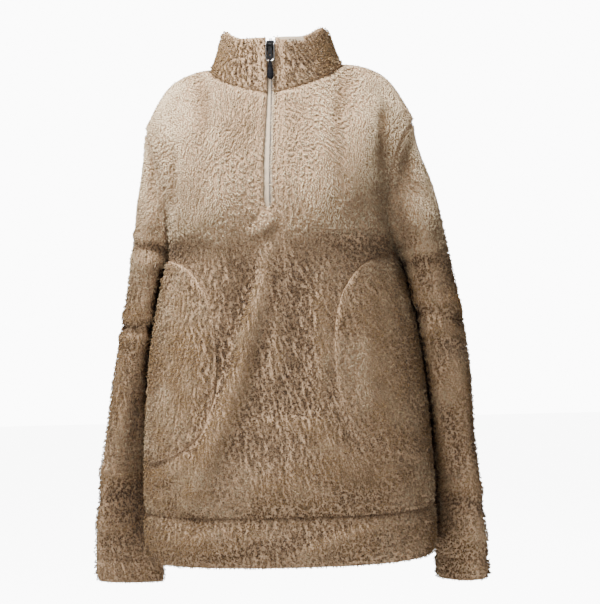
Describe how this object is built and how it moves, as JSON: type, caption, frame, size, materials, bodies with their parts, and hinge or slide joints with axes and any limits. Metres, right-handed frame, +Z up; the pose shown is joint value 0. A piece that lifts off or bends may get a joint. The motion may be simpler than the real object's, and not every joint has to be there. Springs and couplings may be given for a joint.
{
  "type": "zip pullover",
  "caption": "Hollow half-zip pullover in curly pile fleece, filled out as worn, with a stand collar, curved front pockets, a hem band and a swinging zip pull.",
  "frame": {"origin": "midway between the two neck points, where the shoulder seams meet the collar and the wearer's shoulders carry the garment", "axes": "+Z up, the front faces -Y, +X is the wearer's left"},
  "size_m": [0.561, 0.3085, 0.7847],
  "materials": {
    "fleece": "curly pile fleece, 5 to 6 mm deep, warm beige with darker roots",
    "zip_tape": "woven zip tape, matte, dyed to match",
    "black_enamel": "black enamel over metal, worn bright at the edges",
    "steel_wire": "bright steel wire",
    "black_rubber": "soft black rubber, satin"
  },
  "bodies": {
    "garment": {"front": "fleece", "back": "fleece", "hem_front": "fleece", "hem_back": "fleece", "sleeve_left_upper": "fleece", "sleeve_left_lower": "fleece", "sleeve_right_upper": "fleece", "sleeve_right_lower": "fleece", "cuff_left": "fleece", "cuff_right": "fleece", "collar": "fleece", "pocket_left": "fleece", "pocket_right": "fleece", "zip_tape_left": "zip_tape", "zip_tape_right": "zip_tape", "slider": "black_enamel"},
    "pull_tab": {"pull_tab": "black_enamel"},
    "pull_loop": {"pull_loop": "steel_wire"},
    "pull_grip": {"pull_grip": "black_rubber"}
  },
  "joints": [
    {"name": "tab_hinge", "type": "hinge", "parent": "garment", "child": "pull_tab", "pos_m": [0, -0.08679, 0.02247], "axis": [-1, 0, 0], "range_deg": [0, 150]},
    {"name": "loop_hinge", "type": "hinge", "parent": "garment", "child": "pull_loop", "pos_m": [0, -0.08679, 0.02247], "axis": [-1, 0, 0], "range_deg": [0, 150]},
    {"name": "grip_hinge", "type": "hinge", "parent": "pull_loop", "child": "pull_grip", "pos_m": [0, -0.08904, 0.00038], "axis": [-1, 0, 0], "range_deg": [0, 90]}
  ]
}
